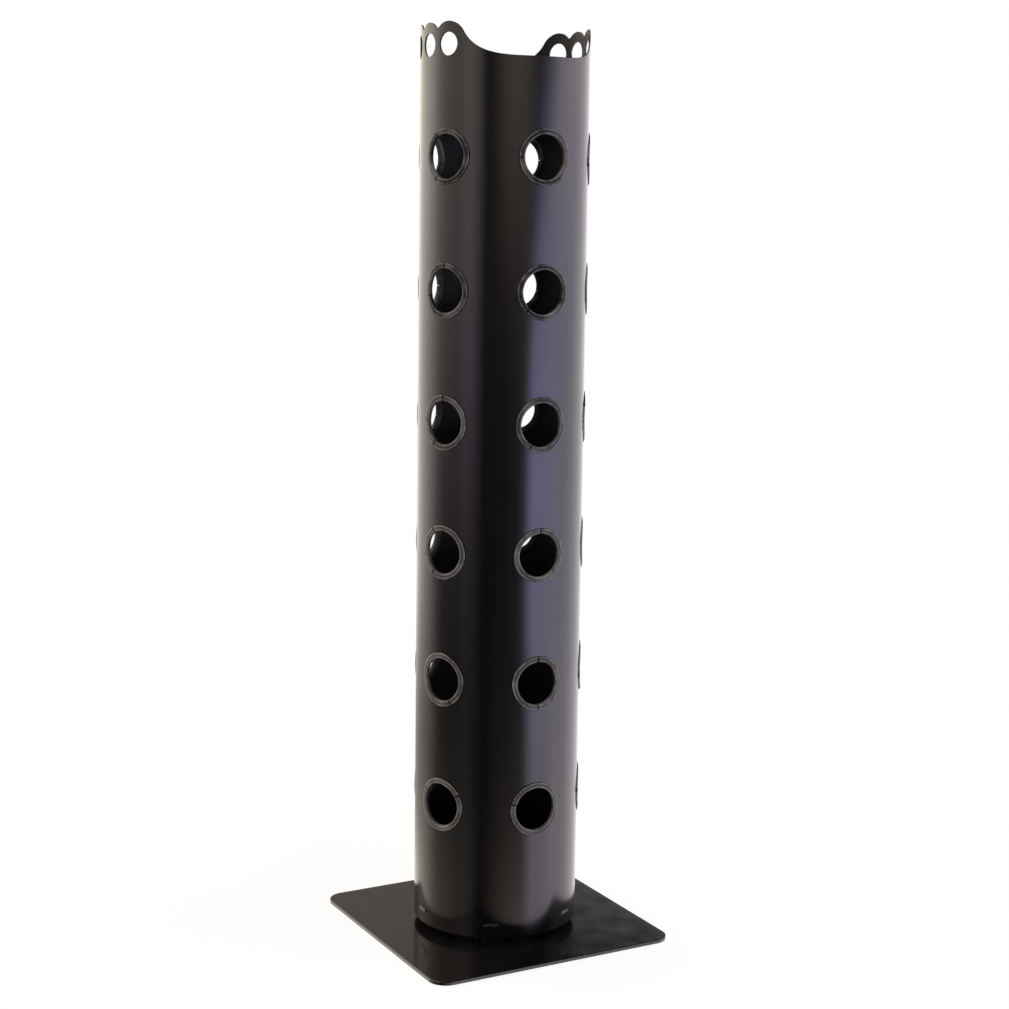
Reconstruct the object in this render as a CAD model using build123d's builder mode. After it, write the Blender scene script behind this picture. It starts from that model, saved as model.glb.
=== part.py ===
"""Vertical planter: a rolled steel tower with trimmed planting holes on a square base plate.

Millimetres. The origin is the centre of the base plate's underside, +Z is up and the front is -Y.
"""

import os
from math import cos, degrees, radians, sin, sqrt

from build123d import *

# Tower tube: one rolled sheet, closed by a weld along its back
tube_diameter = 190.0
wall = 2.0
seam_gap = 1.6
seam_bead_radius = 1.8
bead_end_gap = 2.0

# Planting holes in level rows, with an even pitch along the sheet and more room at its seam
column_count = 5
column_pitch = 117.0
row_count = 6
row_pitch = 146.0
first_row_height = 149.5
planting_hole_diameter = 54.0

# Two opposite ears along the top edge, each with lobes that carry a round hole
ear_angles = (90.0, 270.0)
crown_height = 144.5
lobe_count = 3
lobe_radius = 20.0
lobe_pitch = 34.0
ear_hole_diameter = 25.0
ear_hole_drop = 24.3
dip_depth = 37.0
dip_radius = 47.5
valley_fillet = 4.5

# Slots near the foot, which hang on the tabs of the floor
slot_count = 6
slot_length = 19.0
slot_height = 4.0
slot_level = 15.5

# Floor that closes the tube above its foot
floor_thickness = 3.0
floor_clearance = 0.5
tab_width = 14.0
tab_proud_length = 0.6
drain_count = 6
drain_diameter = 9.0
drain_circle_diameter = 58.0

# Base plate, which the tube's foot clears so that water drains away
plate_width = 305.0
plate_thickness = 4.0
foot_gap = 9.0
plate_corner_radius = 21.0
plate_edge_radius = 0.8

# Countersunk screws that draw the floor down onto spacers on the plate
fixing_count = 4
fixing_circle_diameter = 112.0
fixing_start_angle = 45.0
screw_diameter = 6.0
screw_head_diameter = 12.0
screw_head_recess = 0.2
screw_end_length = 1.6
screw_hole_clearance = 0.3
socket_width = 4.0
socket_depth = 1.8
spacer_diameter = 13.0
washer_diameter = 12.4
washer_thickness = 1.6
nut_width = 10.0
nut_thickness = 5.0
thread_clearance = 0.05

# Edge trim of each planting hole: a strip of U section bent round the edge of the wall
trim_web_thickness = 2.4
trim_flange_width = 4.0
trim_lip_thickness = 1.5
trim_clearance = 0.12
trim_joint_gap = 1.0
trim_slit_width = 0.7

# Clock hours of the cuts in each trim, seen from outside, top row first.
# The first cut is where the ends of the strip meet, the others relieve its flanges.
front_cut_hours = ((3.5, 9.0), (3.0, 7.5), (3.0, 7.0), (4.5, 12.0), (4.5, 6.0, 12.0), (8.0, 9.5))
side_cut_hours = ((6.0, 7.0), (7.0, 8.5, 12.0), (9.0, 7.0, 12.0), (8.5, 7.0, 11.0), (1.0, 5.0), (10.0, 2.0))

# Depth by which a cut runs past the surface that it opens
cut_margin = 5.0

# Values that follow from the sizes above
tube_radius = tube_diameter / 2
bore_radius = tube_radius - wall
tube_height = first_row_height + (row_count - 1) * row_pitch + crown_height
foot_level = plate_thickness + foot_gap
top_level = foot_level + tube_height
dip_level = top_level - dip_depth
lobe_level = top_level - lobe_radius
ear_hole_level = top_level - ear_hole_drop
lobe_step = degrees(lobe_pitch / tube_radius)
lobe_angles = [(lobe - (lobe_count - 1) / 2) * lobe_step for lobe in range(lobe_count)]
lobe_offsets = [tube_radius * sin(radians(angle)) for angle in lobe_angles]
dip_arc_level = dip_level + dip_radius
dip_arc_offset = lobe_offsets[-1] + sqrt((lobe_radius + dip_radius) ** 2 - (dip_arc_level - lobe_level) ** 2)
lobe_share = lobe_radius / (lobe_radius + dip_radius)
shoulder_offset = lobe_offsets[-1] + lobe_share * (dip_arc_offset - lobe_offsets[-1])
shoulder_level = lobe_level + lobe_share * (dip_arc_level - lobe_level)
cut_reach = tube_radius + cut_margin
floor_top = foot_level + slot_level + slot_height / 2
floor_bottom = floor_top - floor_thickness
floor_radius = bore_radius - floor_clearance
screw_radius = screw_diameter / 2
screw_head_radius = screw_head_diameter / 2
screw_hole_radius = screw_radius + screw_hole_clearance
washer_top = floor_top + washer_thickness
nut_top = washer_top + nut_thickness
planting_radius = planting_hole_diameter / 2
trim_opening_radius = planting_radius - trim_clearance - trim_web_thickness
trim_outer_radius = planting_radius + trim_flange_width
trim_face_radius = tube_radius + trim_clearance + trim_lip_thickness
trim_back_radius = bore_radius - trim_clearance - trim_lip_thickness

os.makedirs("parts", exist_ok=True)


def wall_plane(angle, level):
    """Plane on the tube's axis that looks out through the wall, at degrees round from the front."""
    turn = radians(angle)
    return Plane(
        origin=(0, 0, level),
        x_dir=(cos(turn), sin(turn), 0),
        z_dir=(sin(turn), -cos(turn), 0),
    )


def column_angle(column):
    """Degrees round from the front of a column of planting holes: half of them lie on the left."""
    place = column if column <= column_count // 2 else column - column_count
    return degrees(place * column_pitch / tube_radius)


def row_level(row):
    """Height of a row of planting holes, counted from the top row."""
    return foot_level + first_row_height + (row_count - 1 - row) * row_pitch


def cut_hours(row, column):
    """Clock hours of one trim's cuts: the front column has its own, the others share a list."""
    if column == 0:
        return front_cut_hours[row % len(front_cut_hours)]
    return side_cut_hours[(row + column_count - 1 - column) % len(side_cut_hours)]


planting_planes = [
    wall_plane(column_angle(column), row_level(row))
    for row in range(row_count)
    for column in range(column_count)
]
ear_planes = [wall_plane(ear + angle, ear_hole_level) for ear in ear_angles for angle in lobe_angles]
slot_planes = [
    wall_plane(ear_angles[0] + slot * 360 / slot_count, foot_level + slot_level)
    for slot in range(slot_count)
]

# Tower tube. Its top edge is drawn as seen from the side, with the lobes of both ears in one outline
with BuildPart() as tower_tube:
    with BuildSketch(Plane.XY.offset(foot_level)):
        Circle(tube_radius)
        Circle(bore_radius, mode=Mode.SUBTRACT)
    extrude(amount=tube_height)
    with BuildSketch(Plane.YZ.offset(-cut_reach)) as outline:
        with BuildLine():
            RadiusArc((shoulder_offset, shoulder_level), (dip_arc_offset, dip_level), -dip_radius)
            Polyline(
                (dip_arc_offset, dip_level),
                (0, dip_level),
                (0, lobe_level),
                (lobe_offsets[-1], lobe_level),
                (shoulder_offset, shoulder_level),
            )
        make_face()
        mirror(about=Plane.YZ)
        with Locations((0, foot_level)):
            Rectangle(2 * (cut_reach + dip_radius), dip_level - foot_level, align=(Align.CENTER, Align.MIN))
        with Locations(*[(offset, lobe_level) for offset in lobe_offsets]):
            Circle(lobe_radius)
        valleys = outline.vertices().filter_by(lambda v: abs(v.X) < lobe_offsets[-1] and v.Y > lobe_level)
        fillet(valleys, radius=valley_fillet)
    extrude(amount=2 * cut_reach, mode=Mode.INTERSECT)
    with BuildSketch(*ear_planes):
        Circle(ear_hole_diameter / 2)
    extrude(amount=cut_reach, mode=Mode.SUBTRACT)
    with BuildSketch(*planting_planes):
        Circle(planting_radius)
    extrude(amount=cut_reach, mode=Mode.SUBTRACT)
    with BuildSketch(*slot_planes):
        Rectangle(slot_length, slot_height)
    extrude(amount=cut_reach, mode=Mode.SUBTRACT)
    with BuildSketch(wall_plane(180, foot_level)):
        Rectangle(seam_gap, tube_height, align=(Align.CENTER, Align.MIN))
    extrude(amount=cut_reach, mode=Mode.SUBTRACT)
tower_tube.part.label = "tower_tube"
export_step(tower_tube.part, "parts/tower_tube.step")

# Weld that closes the seam: dressed flush outside, left as a bead inside above the floor
bead_bottom = floor_top + bead_end_gap
with BuildPart() as seam_weld:
    with BuildSketch(Plane.XY.offset(foot_level)):
        with Locations((0, bore_radius)):
            Rectangle(seam_gap, 2 * wall)
        Circle(tube_radius, mode=Mode.INTERSECT)
        Circle(bore_radius, mode=Mode.SUBTRACT)
    extrude(amount=dip_level - foot_level)
    with BuildSketch(Plane.XY.offset(bead_bottom)):
        with Locations((0, bore_radius)):
            Circle(seam_bead_radius)
        Circle(bore_radius, mode=Mode.INTERSECT)
    extrude(amount=dip_level - bead_end_gap - bead_bottom)
seam_weld.part.label = "seam_weld"
export_step(seam_weld.part, "parts/seam_weld.step")

# Floor with tabs that reach out through the slots
with BuildPart() as floor_disc:
    with BuildSketch(Plane.XY.offset(floor_bottom)):
        Circle(floor_radius)
        with PolarLocations(0, slot_count):
            Rectangle(tube_radius + tab_proud_length, tab_width, align=(Align.MIN, Align.CENTER))
        Circle(drain_diameter / 2, mode=Mode.SUBTRACT)
        with PolarLocations(drain_circle_diameter / 2, drain_count):
            Circle(drain_diameter / 2, mode=Mode.SUBTRACT)
        with PolarLocations(fixing_circle_diameter / 2, fixing_count, start_angle=fixing_start_angle):
            Circle(screw_hole_radius, mode=Mode.SUBTRACT)
    extrude(amount=floor_thickness)
floor_disc.part.label = "floor_disc"
export_step(floor_disc.part, "parts/floor_disc.step")

# Base plate with screw holes sunk from below
underside = Plane(origin=(0, 0, 0), x_dir=(1, 0, 0), z_dir=(0, 0, -1))
with BuildPart() as base_plate:
    with BuildSketch():
        RectangleRounded(plate_width, plate_width, plate_corner_radius)
    extrude(amount=plate_thickness)
    fillet(base_plate.faces().sort_by(Axis.Z)[-1].edges(), radius=plate_edge_radius)
    with Locations(underside):
        with PolarLocations(fixing_circle_diameter / 2, fixing_count, start_angle=fixing_start_angle):
            CounterSinkHole(
                screw_hole_radius,
                screw_head_radius + screw_hole_clearance,
                counter_sink_angle=90,
            )
base_plate.part.label = "base_plate"
export_step(base_plate.part, "parts/base_plate.step")

# Screws, each with a hexagon socket in its sunk head
stand = (Align.CENTER, Align.CENTER, Align.MIN)
screw_length = nut_top + screw_end_length - screw_head_recess
with BuildPart() as base_screws:
    with Locations((0, 0, screw_head_recess)):
        with PolarLocations(fixing_circle_diameter / 2, fixing_count, start_angle=fixing_start_angle):
            Cone(screw_head_radius, screw_radius, screw_head_radius - screw_radius, align=stand)
            Cylinder(screw_radius, screw_length, align=stand)
    with BuildSketch(Plane.XY.offset(screw_head_recess)):
        with PolarLocations(fixing_circle_diameter / 2, fixing_count, start_angle=fixing_start_angle):
            RegularPolygon(socket_width / 2, side_count=6, major_radius=False)
    extrude(amount=socket_depth, mode=Mode.SUBTRACT)
base_screws.part.label = "base_screws"
export_step(base_screws.part, "parts/base_screws.step")

# Spacers between the plate and the floor
with BuildPart() as base_spacers:
    with BuildSketch(Plane.XY.offset(plate_thickness)):
        with PolarLocations(fixing_circle_diameter / 2, fixing_count, start_angle=fixing_start_angle):
            Circle(spacer_diameter / 2)
            Circle(screw_hole_radius, mode=Mode.SUBTRACT)
    extrude(amount=floor_bottom - plate_thickness)
base_spacers.part.label = "base_spacers"
export_step(base_spacers.part, "parts/base_spacers.step")

# Washers on the floor
with BuildPart() as base_washers:
    with BuildSketch(Plane.XY.offset(floor_top)):
        with PolarLocations(fixing_circle_diameter / 2, fixing_count, start_angle=fixing_start_angle):
            Circle(washer_diameter / 2)
            Circle(screw_hole_radius, mode=Mode.SUBTRACT)
    extrude(amount=washer_thickness)
base_washers.part.label = "base_washers"
export_step(base_washers.part, "parts/base_washers.step")

# Nuts on the washers
with BuildPart() as base_nuts:
    with BuildSketch(Plane.XY.offset(washer_top)):
        with PolarLocations(fixing_circle_diameter / 2, fixing_count, start_angle=fixing_start_angle):
            RegularPolygon(nut_width / 2, side_count=6, major_radius=False)
            Circle(screw_radius + thread_clearance, mode=Mode.SUBTRACT)
    extrude(amount=nut_thickness)
base_nuts.part.label = "base_nuts"
export_step(base_nuts.part, "parts/base_nuts.step")

# Room that the wall takes up in a trim, round a hole at the front
band_height = 2 * (trim_outer_radius + cut_margin)
with BuildPart() as trim_groove:
    with BuildSketch(Plane.XY.offset(-band_height / 2)):
        Circle(tube_radius + trim_clearance)
        Circle(bore_radius - trim_clearance, mode=Mode.SUBTRACT)
    extrude(amount=band_height)
    with BuildSketch(wall_plane(0, 0)):
        Circle(planting_radius - trim_clearance)
    extrude(amount=2 * cut_reach, both=True, mode=Mode.SUBTRACT)

# Uncut trim round a hole at the front
with BuildPart() as trim_blank:
    with BuildSketch(wall_plane(0, 0)):
        Circle(trim_outer_radius)
        Circle(trim_opening_radius, mode=Mode.SUBTRACT)
    extrude(amount=2 * cut_reach)
    Cylinder(trim_face_radius, band_height, mode=Mode.INTERSECT)
    Cylinder(trim_back_radius, band_height, mode=Mode.SUBTRACT)
    add(trim_groove.part, mode=Mode.SUBTRACT)

# Edge trims, one in each planting hole
slit_length = trim_flange_width + cut_margin
joint_length = slit_length + planting_radius - trim_opening_radius + cut_margin
for row in range(row_count):
    for column in range(column_count):
        hole_plane = wall_plane(column_angle(column), row_level(row))
        cut_angles = [90 - 30 * hour for hour in cut_hours(row, column)]
        with BuildPart() as hole_trim:
            with Locations(Location((0, 0, row_level(row)), (0, 0, column_angle(column)))):
                add(trim_blank.part)
            with Locations(hole_plane):
                with PolarLocations(trim_opening_radius - cut_margin, 1, start_angle=cut_angles[0]):
                    Box(
                        joint_length,
                        trim_joint_gap,
                        2 * cut_reach,
                        align=(Align.MIN, Align.CENTER, Align.MIN),
                        mode=Mode.SUBTRACT,
                    )
                for angle in cut_angles[1:]:
                    with PolarLocations(planting_radius, 1, start_angle=angle):
                        Box(
                            slit_length,
                            trim_slit_width,
                            2 * cut_reach,
                            align=(Align.MIN, Align.CENTER, Align.MIN),
                            mode=Mode.SUBTRACT,
                        )
        trim_name = f"hole_trim_r{row + 1}_c{column + 1}"
        hole_trim.part.label = trim_name
        export_step(hole_trim.part, f"parts/{trim_name}.step")
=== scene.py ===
"""Vertical planter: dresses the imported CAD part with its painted, rubber and zinc finishes.

Laid out as an add-on and run as a script. Metres, in the frame of the CAD part: +Z is up and
the front is -Y.
"""

from functools import partial
from math import asin, cos, pi, radians, sin, sqrt

import bmesh
import bpy
from bpy.props import FloatProperty, FloatVectorProperty, IntProperty, PointerProperty
from mathutils import Matrix, Vector
from mathutils.geometry import delaunay_2d_cdt


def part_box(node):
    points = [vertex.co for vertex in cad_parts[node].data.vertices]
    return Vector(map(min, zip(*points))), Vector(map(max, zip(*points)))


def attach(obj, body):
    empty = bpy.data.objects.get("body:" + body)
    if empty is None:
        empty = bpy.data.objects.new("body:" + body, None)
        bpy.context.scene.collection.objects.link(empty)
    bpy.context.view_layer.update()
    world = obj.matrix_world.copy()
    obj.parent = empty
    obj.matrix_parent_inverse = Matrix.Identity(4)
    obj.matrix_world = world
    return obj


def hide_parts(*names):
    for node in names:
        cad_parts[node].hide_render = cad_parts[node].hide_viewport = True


bl_info = {
    "name": "Vertical Planter",
    "version": (1, 0, 0),
    "blender": (4, 5, 0),
    "location": "View3D > Sidebar > Planter",
    "description": "Builds the pieces of a tubular tower planter with trimmed planting holes",
    "category": "Object",
}

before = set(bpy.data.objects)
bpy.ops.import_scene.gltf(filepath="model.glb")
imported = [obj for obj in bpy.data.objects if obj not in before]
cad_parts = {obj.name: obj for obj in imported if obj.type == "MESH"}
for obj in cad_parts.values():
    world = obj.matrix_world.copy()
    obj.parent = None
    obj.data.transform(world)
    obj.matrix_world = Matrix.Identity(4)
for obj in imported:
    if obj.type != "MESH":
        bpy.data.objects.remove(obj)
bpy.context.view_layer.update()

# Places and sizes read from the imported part
TUBE_LOW, TUBE_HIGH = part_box("tower_tube")
WELD_LOW, WELD_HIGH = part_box("seam_weld")
FLOOR_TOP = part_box("floor_disc")[1].z
TUBE_RADIUS = TUBE_HIGH.x
ROW_COUNT = len([
    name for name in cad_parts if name.startswith("hole_trim_") and name.endswith("_c1")])
COLUMN_COUNT = len([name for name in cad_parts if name.startswith("hole_trim_r1_")])
FIXING_NODES = ("base_screws", "base_spacers", "base_washers", "base_nuts")

# Fineness of the meshes
SHEET_STEP = radians(3.0)
SHEET_BANDS = 28
CROWN_STEPS = 480
HOLE_STEPS = 64
EAR_HOLE_STEPS = 48
EDGE_TURNS = (30.0, 60.0, 90.0)
TRIM_STEPS = 96
TRIM_DOME_STEPS = 12
WELD_STEP = 0.0008
WELD_CAP_STEPS = 6
WELD_BEAD_STEPS = 8
FILL_ALL = 0
MERGE_DISTANCE = 1e-6
MITRE_LIMIT = 0.5

# Form of the seam weld: a dressed cap outside, and inside a rippled bead that thins at its ends
WELD_CAP_HALF = 0.0015
WELD_CAP_PROUD = 0.00018
WELD_BEAD_RADIUS = 0.0017
WELD_BEAD_SUNK = 0.0001
WELD_RIPPLE_PITCH = 0.0026
WELD_RIPPLE_DEPTH = 0.14
WELD_END = 0.004
WELD_END_SHARE = 0.12

# Clock hours of the cuts in each trim, seen from outside, top row first.
# The first cut is where the ends of the strip meet, the others relieve its flanges.
FRONT_CUT_HOURS = ((3.5, 9.0), (3.0, 7.5), (3.0, 7.0), (4.5, 12.0), (4.5, 6.0, 12.0), (8.0, 9.5))
SIDE_CUT_HOURS = (
    (6.0, 7.0), (7.0, 8.5, 12.0), (9.0, 7.0, 12.0), (8.5, 7.0, 11.0), (1.0, 5.0), (10.0, 2.0))

# Form of the trims: the share of a slit's half that slopes, the share of the flange left in a slit,
# the angle over which an end stands off, and the waves of the strip's sway as
# (waves round the hole, share, turns of phase).
SLIT_SLOPE = 0.35
SLIT_FLANGE = 0.08
TRIM_END_REACH = 0.5
TRIM_SWAY = ((2, 1.0, 1), (5, 0.6, 2), (11, 0.35, 3))
TRIM_ROW_PHASE = 2.4
TRIM_COLUMN_PHASE = 1.7

# Bands of a trim's section at its foot on the sheet. They carry painted shade, a dark contact
# line, but on the column at the right they are painted light at the sides of the hole, a painted
# sheen, by the cosine of the angle round it.
TRIM_FOOT_BANDS = (1, 2)
SHEEN_COLUMN = 1
SHEEN_SIDE_START = 0.65
SHEEN_SIDE_FADE = 0.2

# Heights between which the trims go from painted light, lighter on the lower rows, to black
RUBBER_PAINTED_LIGHT_HEIGHTS = (0.50, 0.72)

# Past this depth in the wall the floor's tab ends are painted light grey, partly as rubbed bare
# metal and partly as a painted highlight; the front tab is left dimmer, a painted shade.
TAB_RUB_DEPTH = 0.0004
SHADED_TAB_TURN = radians(-30.0)

# Light of the studio that the paint mirrors, by degrees round from the camera's own side.
# White paper stands at the back and sides, a tall bluish window on the right and a dim room
# behind the camera.
SURROUNDINGS = (
    (-180.0, (1.60, 1.56, 1.50)),
    (-126.0, (1.60, 1.53, 1.48)),
    (-110.0, (1.30, 1.23, 1.18)),
    (-96.0, (0.82, 0.74, 0.73)),
    (-82.0, (0.62, 0.54, 0.55)),
    (-62.0, (0.56, 0.47, 0.53)),
    (-48.0, (0.80, 0.66, 0.82)),
    (-37.0, (0.60, 0.52, 0.66)),
    (-24.0, (0.06, 0.055, 0.06)),
    (10.0, (0.03, 0.028, 0.028)),
    (26.0, (0.14, 0.13, 0.14)),
    (34.0, (0.42, 0.42, 0.56)),
    (46.0, (2.30, 2.26, 3.70)),
    (64.0, (2.05, 2.00, 3.10)),
    (80.0, (1.95, 1.88, 2.60)),
    (96.0, (1.60, 1.53, 1.90)),
    (120.0, (1.62, 1.57, 1.72)),
    (180.0, (1.60, 1.56, 1.50)),
)

# Soft changes of the studio's light, as (start, end, value before, value after). The last word of
# a name says what it goes by: the height of a direction, its reach near the camera or aside to the
# right, the angle around from the camera's side, or a height that is tilted to the right.
STUDIO_FADES = {
    "lean_high_height": (-0.11, 0.17, 0.0, radians(-46.0)),
    "lean_low_height": (-0.28, -0.20, radians(-8.0), 0.0),
    "lean_aside": (-0.1, 0.25, 0.0, 1.0),
    "warmth_aside": (-0.3, 0.2, 0.0, 1.0),
    "warmth_height": (0.09, 0.20, 1.0, 0.0),
    "tint_low_height": (-0.28, -0.21, 0.1, 1.0),
    "tint_high_height": (-0.06, 0.07, 1.0, 0.0),
    "far_low_height": (-0.28, -0.15, 0.7, 0.0),
    "far_side_near": (-0.35, 0.15, 1.0, 0.0),
    "close_side_near": (-0.35, 0.15, 0.0, 1.0),
    "upper_left_height": (-0.14, -0.02, 0.0, 1.0),
    "upper_left_near": (-0.90, -0.25, 0.25, 1.0),
    "left_aside": (-0.25, 0.05, 1.0, 0.0),
    "growth_height": (-0.27, 0.06, -0.9, 0.6),
    "by_foot_height": (-0.345, -0.30, 0.95, 0.0),
    "by_foot_around": (radians(-75.0), radians(-50.0), 1.0, 0.5),
    "sill_height": (-0.30, -0.21, -0.32, 0.0),
    "sill_around": (radians(60.0), radians(95.0), 1.0, 0.0),
    "sill_aside": (0.0, 0.2, 0.0, 1.0),
    "left_top_near": (-0.85, -0.55, -0.77, 0.0),
    "left_top_height": (0.08, 0.30, 0.0, 1.0),
    "right_top_height": (0.10, 0.28, 1.0, 0.7),
    "right_top_tilted": (0.296, 0.318, 1.0, 0.0),
    "top_halves_aside": (-0.03, 0.03, 0.0, 1.0),
    "warm_top_height": (0.10, 0.28, 0.0, 1.0),
    "warm_top_aside": (-0.03, 0.03, 1.0, 0.2),
    "shelf_left_around": (radians(-22.0), radians(13.0), 0.0, 1.0),
    "shelf_right_around": (radians(24.0), radians(52.0), 1.0, 0.0),
    "shelf_low_height": (-0.08, 0.09, 0.0, 0.85),
    "shelf_high_height": (0.14, 0.26, 1.0, 0.0),
    "floor_left_around": (radians(-28.0), radians(34.0), 0.0, 1.0),
    "floor_right_around": (radians(40.0), radians(60.0), 1.0, 0.0),
    "floor_height": (-0.372, -0.347, 1.35, 0.0),
}
STUDIO_TILT = 0.3
STUDIO_TILT_REACH = 0.1
LEFT_WARMTH = (1.11, 1.01, 0.87)
RIGHT_WARMTH = (1.06, 0.95, 1.01)
TOP_WARMTH = (1.0, 0.87, 0.76)
ROOM_LIGHT = (1.0, 0.86, 0.76)
WHITE = (1.0, 1.0, 1.0)

# Kinds of settings
Length = partial(FloatProperty, unit="LENGTH")
Angle = partial(FloatProperty, unit="ROTATION")
Share = partial(FloatProperty, subtype="FACTOR", min=0.0, max=1.0)
Colour = partial(FloatVectorProperty, subtype="COLOR", size=3, min=0.0, max=1.0)


class PlanterTower(bpy.types.PropertyGroup):
    """Sizes of the rolled tower tube"""

    wall: Length(name="Wall", description="Thickness of the sheet", default=0.002)
    edge_radius: Length(
        name="Edge Radius", description="Rounding of the sheet's dressed edges", default=0.0005)
    seam_gap: Length(
        name="Seam Gap", description="Gap between the rolled edges at the back", default=0.0016)
    column_pitch: Length(
        name="Column Pitch", description="Distance between columns of holes along the sheet",
        default=0.117)
    hole_radius: Length(
        name="Hole Radius", description="Radius of a planting hole in the sheet", default=0.027)
    lobe_count: IntProperty(name="Lobes", description="Lobes along each ear", default=3, min=2)
    lobe_radius: Length(name="Lobe Radius", description="Radius of an ear's lobes", default=0.020)
    lobe_pitch: Length(
        name="Lobe Pitch", description="Distance between lobes along the wall", default=0.034)
    ear_hole_radius: Length(
        name="Ear Hole Radius", description="Radius of the hole in a lobe", default=0.0125)
    ear_hole_drop: Length(
        name="Ear Hole Drop", description="From an ear's top to its holes", default=0.0243)
    dip_depth: Length(
        name="Dip Depth", description="From an ear's top to the low rim", default=0.037)
    dip_radius: Length(
        name="Dip Radius", description="Radius of the rim where it rises to an ear", default=0.0475)
    valley_radius: Length(
        name="Valley Radius", description="Rounding between two lobes", default=0.0045)
    slot_count: IntProperty(name="Slots", description="Slots round the foot", default=6, min=1)
    slot_length: Length(
        name="Slot Length", description="Length of a slot along the wall", default=0.019)
    slot_height: Length(name="Slot Height", description="Height of a slot", default=0.004)


class PlanterTrim(bpy.types.PropertyGroup):
    """Sizes of the strip round each planting hole"""

    web: Length(name="Web", description="Thickness of the strip inside the hole", default=0.0024)
    flange: Length(name="Flange", description="Reach of the strip over the sheet", default=0.004)
    lip: Length(name="Lip", description="Thickness of the strip over the sheet", default=0.0015)
    clearance: Length(name="Clearance", description="Play between strip and sheet", default=0.00012)
    fullness: FloatProperty(
        name="Fullness", description="Roundness of the strip's face, where a lower value is fuller",
        default=0.55, min=0.2, max=1.0)
    # The rubbed lines are painted highlights along the shoulders of the strip's face.
    line_place: Share(
        name="Line Place",
        description="Place of the rubbed lines, from the middle of the strip's face to its edge",
        default=0.70)
    line_width: Share(
        name="Line Width", description="Share of the strip's face that a rubbed line fades over",
        default=0.26)
    joint_gap: Length(
        name="Joint Gap", description="Gap where the strip's ends meet", default=0.0007)
    joint_lift: Length(
        name="Joint Lift", description="How far the strip's last end stands off", default=0.0009)
    slit_width: Length(name="Slit Width", description="Width of a relief slit", default=0.0014)
    slit_rest: Share(
        name="Slit Rest",
        description="Share of the strip's thickness that is left under a relief slit",
        default=0.2)
    wobble: Length(
        name="Wobble", description="Unevenness of the strip as pushed on by hand", default=0.00025)


class PlanterFinish(bpy.types.PropertyGroup):
    """Colours and gloss of the finishes"""

    paint: Colour(
        name="Paint", description="Colour of the satin paint", default=(0.0032, 0.0030, 0.0032))
    paint_roughness: Share(
        name="Paint Roughness", description="Mean roughness of the paint", default=0.18)
    plate_roughness: Share(
        name="Plate Roughness", description="Mean roughness of the paint on the flat base plate",
        default=0.14)
    paint_ior: FloatProperty(
        name="Paint IOR", description="Refraction index of the paint's binder",
        default=1.6, min=1.0, max=2.0)
    bore_roughness: Share(
        name="Bore Roughness", description="Mean roughness of the thin coat inside the tube",
        default=0.50)
    bore_ior: FloatProperty(
        name="Bore IOR", description="Refraction index of the thin coat inside the tube",
        default=1.35, min=1.0, max=2.0)
    worn_paint: Colour(
        name="Worn Paint", description="Colour of the paint where edges are rubbed",
        default=(0.030, 0.029, 0.030))
    # Painted partly as rubbed bare metal and partly as a highlight on the tab ends.
    bare_tab_and_highlight: Colour(
        name="Bare Tab", description="Colour of the floor's tab ends where the paint is rubbed",
        default=(0.34, 0.325, 0.31))
    dust: Colour(
        name="Dust", description="Colour of the dust that settles on level faces",
        default=(0.16, 0.14, 0.12))
    rubber: Colour(
        name="Rubber", description="Colour of the hole trims", default=(0.0075, 0.0075, 0.0080))
    # Painted light: the trims of the lower rows are painted lighter.
    painted_light_rubber: Colour(
        name="Faded Rubber", description="Colour of the hole trims on the lower rows",
        default=(0.042, 0.041, 0.043))
    # Also the colour of the painted highlight lines and painted sheen on the trims.
    worn_and_highlight_rubber: Colour(
        name="Worn Rubber", description="Colour of the trims along their rubbed lines",
        default=(0.30, 0.292, 0.285))
    zinc: Colour(
        name="Zinc", description="Colour of the plated screws, nuts and washers",
        default=(0.55, 0.56, 0.57))


class PlanterStage(bpy.types.PropertyGroup):
    """Camera, floor and lights"""

    camera_turn: Angle(
        name="Camera Turn", description="Turn of the camera round from the front",
        default=radians(-28.69))
    camera_distance: Length(
        name="Camera Distance", description="From the tower's axis to the camera", default=2.2063)
    camera_height: Length(
        name="Camera Height", description="Height of the camera over the floor", default=0.8467)
    camera_yaw: Angle(
        name="Camera Yaw", description="Turn of the view off the tower's axis",
        default=radians(-0.134))
    camera_pitch: Angle(
        name="Camera Pitch", description="Angle by which the camera looks down",
        default=radians(7.794))
    camera_roll: Angle(
        name="Camera Roll", description="Tilt of the picture", default=radians(0.762))
    camera_lens: FloatProperty(
        name="Camera Lens", description="Focal length on a 36 mm sensor, in millimetres",
        default=69.106)
    camera_shift: FloatProperty(
        name="Camera Shift", description="Upright shift of the picture", default=-0.0396)
    floor: Colour(name="Floor", description="Colour of the pale floor", default=(0.90, 0.90, 0.90))
    surround_level: FloatProperty(
        name="Surround Level", description="Brightness of the studio round the object", default=1.0)
    overhead_power: FloatProperty(
        name="Overhead Power", description="Power of the lamp over the object",
        default=60.0, unit="POWER")


def wall_point(turn, radius, level):
    """Point on the tower at an angle round from the front."""
    return Vector((radius * sin(turn), -radius * cos(turn), level))


def row_level(row):
    """Height of a row of planting holes, counted from the top row."""
    low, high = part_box(f"hole_trim_r{row + 1}_c1")
    return (low.z + high.z) / 2


def column_turn(tower, column):
    """Angle of a column of planting holes round from the front: half of them lie on the left."""
    place = column if column <= COLUMN_COUNT // 2 else column - COLUMN_COUNT
    return place * tower.column_pitch / TUBE_RADIUS


def cut_hours(row, column):
    """Clock hours of one trim's cuts: the front column has its own, the others share a list."""
    if column == 0:
        return FRONT_CUT_HOURS[row % len(FRONT_CUT_HOURS)]
    return SIDE_CUT_HOURS[(row + COLUMN_COUNT - 1 - column) % len(SIDE_CUT_HOURS)]


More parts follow.
